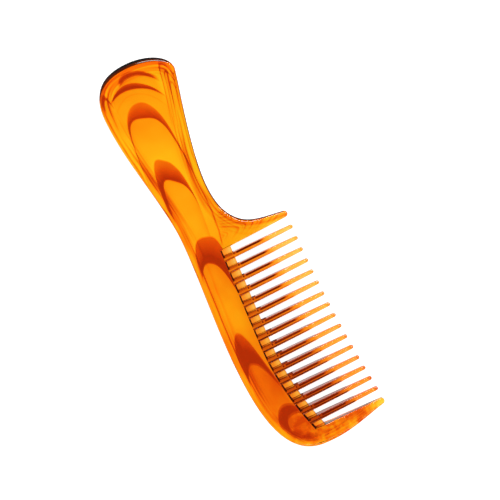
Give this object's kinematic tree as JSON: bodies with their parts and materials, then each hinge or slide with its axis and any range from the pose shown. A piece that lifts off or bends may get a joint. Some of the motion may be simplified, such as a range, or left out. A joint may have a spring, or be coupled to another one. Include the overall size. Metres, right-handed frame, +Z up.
{
  "type": "hair comb",
  "caption": "Wide-tooth hair comb with a broad curved handle, for detangling hair; one rigid tortoiseshell-effect plastic moulding, divided into handle, spine, webs and teeth.",
  "frame": {"origin": "under the middle of the comb, on the flat face that it lies on", "axes": "+X from the handle's end to the nose, +Y towards the tooth tips, +Z up through the comb's thickness"},
  "size_m": [0.2004, 0.06, 0.009],
  "materials": {
    "tortoiseshell_plastic": "polished translucent amber with brown swirls"
  },
  "bodies": {
    "root": {"handle": "tortoiseshell_plastic", "shoulder": "tortoiseshell_plastic", "spine": "tortoiseshell_plastic", "root_webs": "tortoiseshell_plastic", "rear_guard_tooth": "tortoiseshell_plastic", "nose_guard_tooth": "tortoiseshell_plastic", "tooth_01": "tortoiseshell_plastic", "tooth_02": "tortoiseshell_plastic", "tooth_03": "tortoiseshell_plastic", "tooth_04": "tortoiseshell_plastic", "tooth_05": "tortoiseshell_plastic", "tooth_06": "tortoiseshell_plastic", "tooth_07": "tortoiseshell_plastic", "tooth_08": "tortoiseshell_plastic", "tooth_09": "tortoiseshell_plastic", "tooth_10": "tortoiseshell_plastic", "tooth_11": "tortoiseshell_plastic", "tooth_12": "tortoiseshell_plastic", "tooth_13": "tortoiseshell_plastic", "tooth_14": "tortoiseshell_plastic", "tooth_15": "tortoiseshell_plastic", "tooth_16": "tortoiseshell_plastic"}
  },
  "joints": []
}
